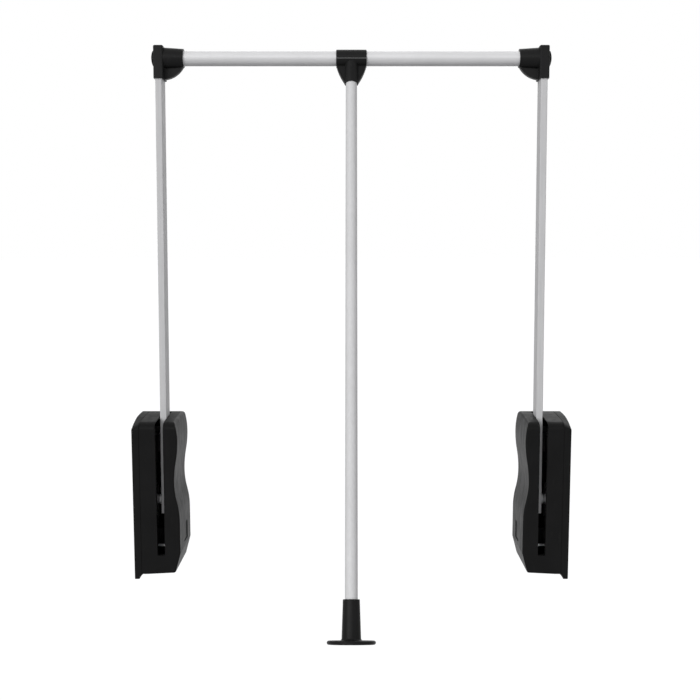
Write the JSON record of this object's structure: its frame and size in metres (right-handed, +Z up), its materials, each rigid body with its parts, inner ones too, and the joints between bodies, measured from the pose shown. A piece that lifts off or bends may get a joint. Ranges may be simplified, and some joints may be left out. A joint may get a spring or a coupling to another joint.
{
  "type": "pull down closet rod",
  "caption": "Pull-down wardrobe rail: wall housings with swinging arms, a telescoping hanging bar between them and a centre pull rod with a grip.",
  "frame": {"origin": "where the swing axis meets the left wall face", "axes": "+X along the swing axis to the right wall, -Y out of the wardrobe towards the user, +Z up"},
  "size_m": [0.71, 0.3955, 0.8779],
  "materials": {
    "shell_black": "fine moulded texture, satin",
    "connector_black": "moulded, satin",
    "grip_black": "moulded, satin",
    "arm_grey": "silver-grey powder coat",
    "tube_grey": "silver-grey powder coat",
    "rod_grey": "silver-grey powder coat",
    "chassis_steel": "black passivated sheet",
    "bright_steel": "ground",
    "hub_metal": "sintered, lightly oiled",
    "buffer_rubber": "matt",
    "guide_plastic": "natural, smooth",
    "rack_plastic": "natural, smooth",
    "cylinder_black": "black lacquer"
  },
  "bodies": {
    "left_housing": {"left_base": "shell_black", "left_cover": "shell_black", "left_chassis": "chassis_steel", "left_pivot_pin": "bright_steel", "left_cross_pin": "bright_steel", "left_stop_bumper": "buffer_rubber", "left_rack_guides": "guide_plastic", "left_spring_cylinder": "cylinder_black", "left_damper_cylinder": "cylinder_black"},
    "left_arm": {"left_arm": "arm_grey", "left_pinion_hub": "hub_metal", "left_corner_connector": "connector_black", "left_corner_cap": "connector_black", "left_tube": "tube_grey", "inner_tube": "tube_grey"},
    "left_spring_slide": {"left_spring_rack": "rack_plastic", "left_spring_rod": "bright_steel"},
    "left_damper_slide": {"left_damper_rack": "rack_plastic", "left_damper_rod": "bright_steel"},
    "right_arm": {"right_arm": "arm_grey", "right_pinion_hub": "hub_metal", "right_corner_connector": "connector_black", "right_corner_cap": "connector_black", "right_tube": "tube_grey"},
    "right_housing": {"right_base": "shell_black", "right_cover": "shell_black", "right_chassis": "chassis_steel", "right_pivot_pin": "bright_steel", "right_cross_pin": "bright_steel", "right_stop_bumper": "buffer_rubber", "right_rack_guides": "guide_plastic", "right_spring_cylinder": "cylinder_black", "right_damper_cylinder": "cylinder_black"},
    "right_spring_slide": {"right_spring_rack": "rack_plastic", "right_spring_rod": "bright_steel"},
    "right_damper_slide": {"right_damper_rack": "rack_plastic", "right_damper_rod": "bright_steel"},
    "handle": {"joint_body": "connector_black", "joint_cap": "connector_black", "pull_rod": "rod_grey", "grip": "grip_black"}
  },
  "joints": [
    {"name": "arm_swing", "type": "hinge", "parent": "left_housing", "child": "left_arm", "pos_m": [0, 0, 0], "axis": [1, 0, 0], "range_deg": [0, 135], "stiffness_Nm_per_rad": 8, "springref_deg": -28.65},
    {"name": "width_adjust", "type": "slide", "parent": "left_arm", "child": "right_arm", "axis": [1, 0, 0], "range_m": [0, 0.12]},
    {"name": "right_pivot", "type": "hinge", "parent": "right_arm", "child": "right_housing", "pos_m": [0.71, 0, 0], "axis": [1, 0, 0], "range_deg": [-135, 0]},
    {"name": "left_spring_travel", "type": "slide", "parent": "left_housing", "child": "left_spring_slide", "axis": [0, 0, 1], "range_m": [-0.0384, 0]},
    {"name": "left_damper_travel", "type": "slide", "parent": "left_housing", "child": "left_damper_slide", "axis": [0, 0, 1], "range_m": [0, 0.0384]},
    {"name": "right_spring_travel", "type": "slide", "parent": "right_housing", "child": "right_spring_slide", "axis": [0, 0, 1], "range_m": [-0.0384, 0]},
    {"name": "right_damper_travel", "type": "slide", "parent": "right_housing", "child": "right_damper_slide", "axis": [0, 0, 1], "range_m": [0, 0.0384]},
    {"name": "handle_swing", "type": "hinge", "parent": "right_arm", "child": "handle", "pos_m": [0.355, 0.0268, 0.724], "axis": [1, 0, 0], "continuous": true}
  ],
  "couplings": [
    {"joint": "right_pivot", "follows": "arm_swing", "ratio": -1},
    {"joint": "left_spring_travel", "follows": "arm_swing", "m_per_rad": -0.0162},
    {"joint": "left_damper_travel", "follows": "arm_swing", "m_per_rad": 0.0162},
    {"joint": "right_spring_travel", "follows": "arm_swing", "m_per_rad": -0.0162},
    {"joint": "right_damper_travel", "follows": "arm_swing", "m_per_rad": 0.0162}
  ]
}
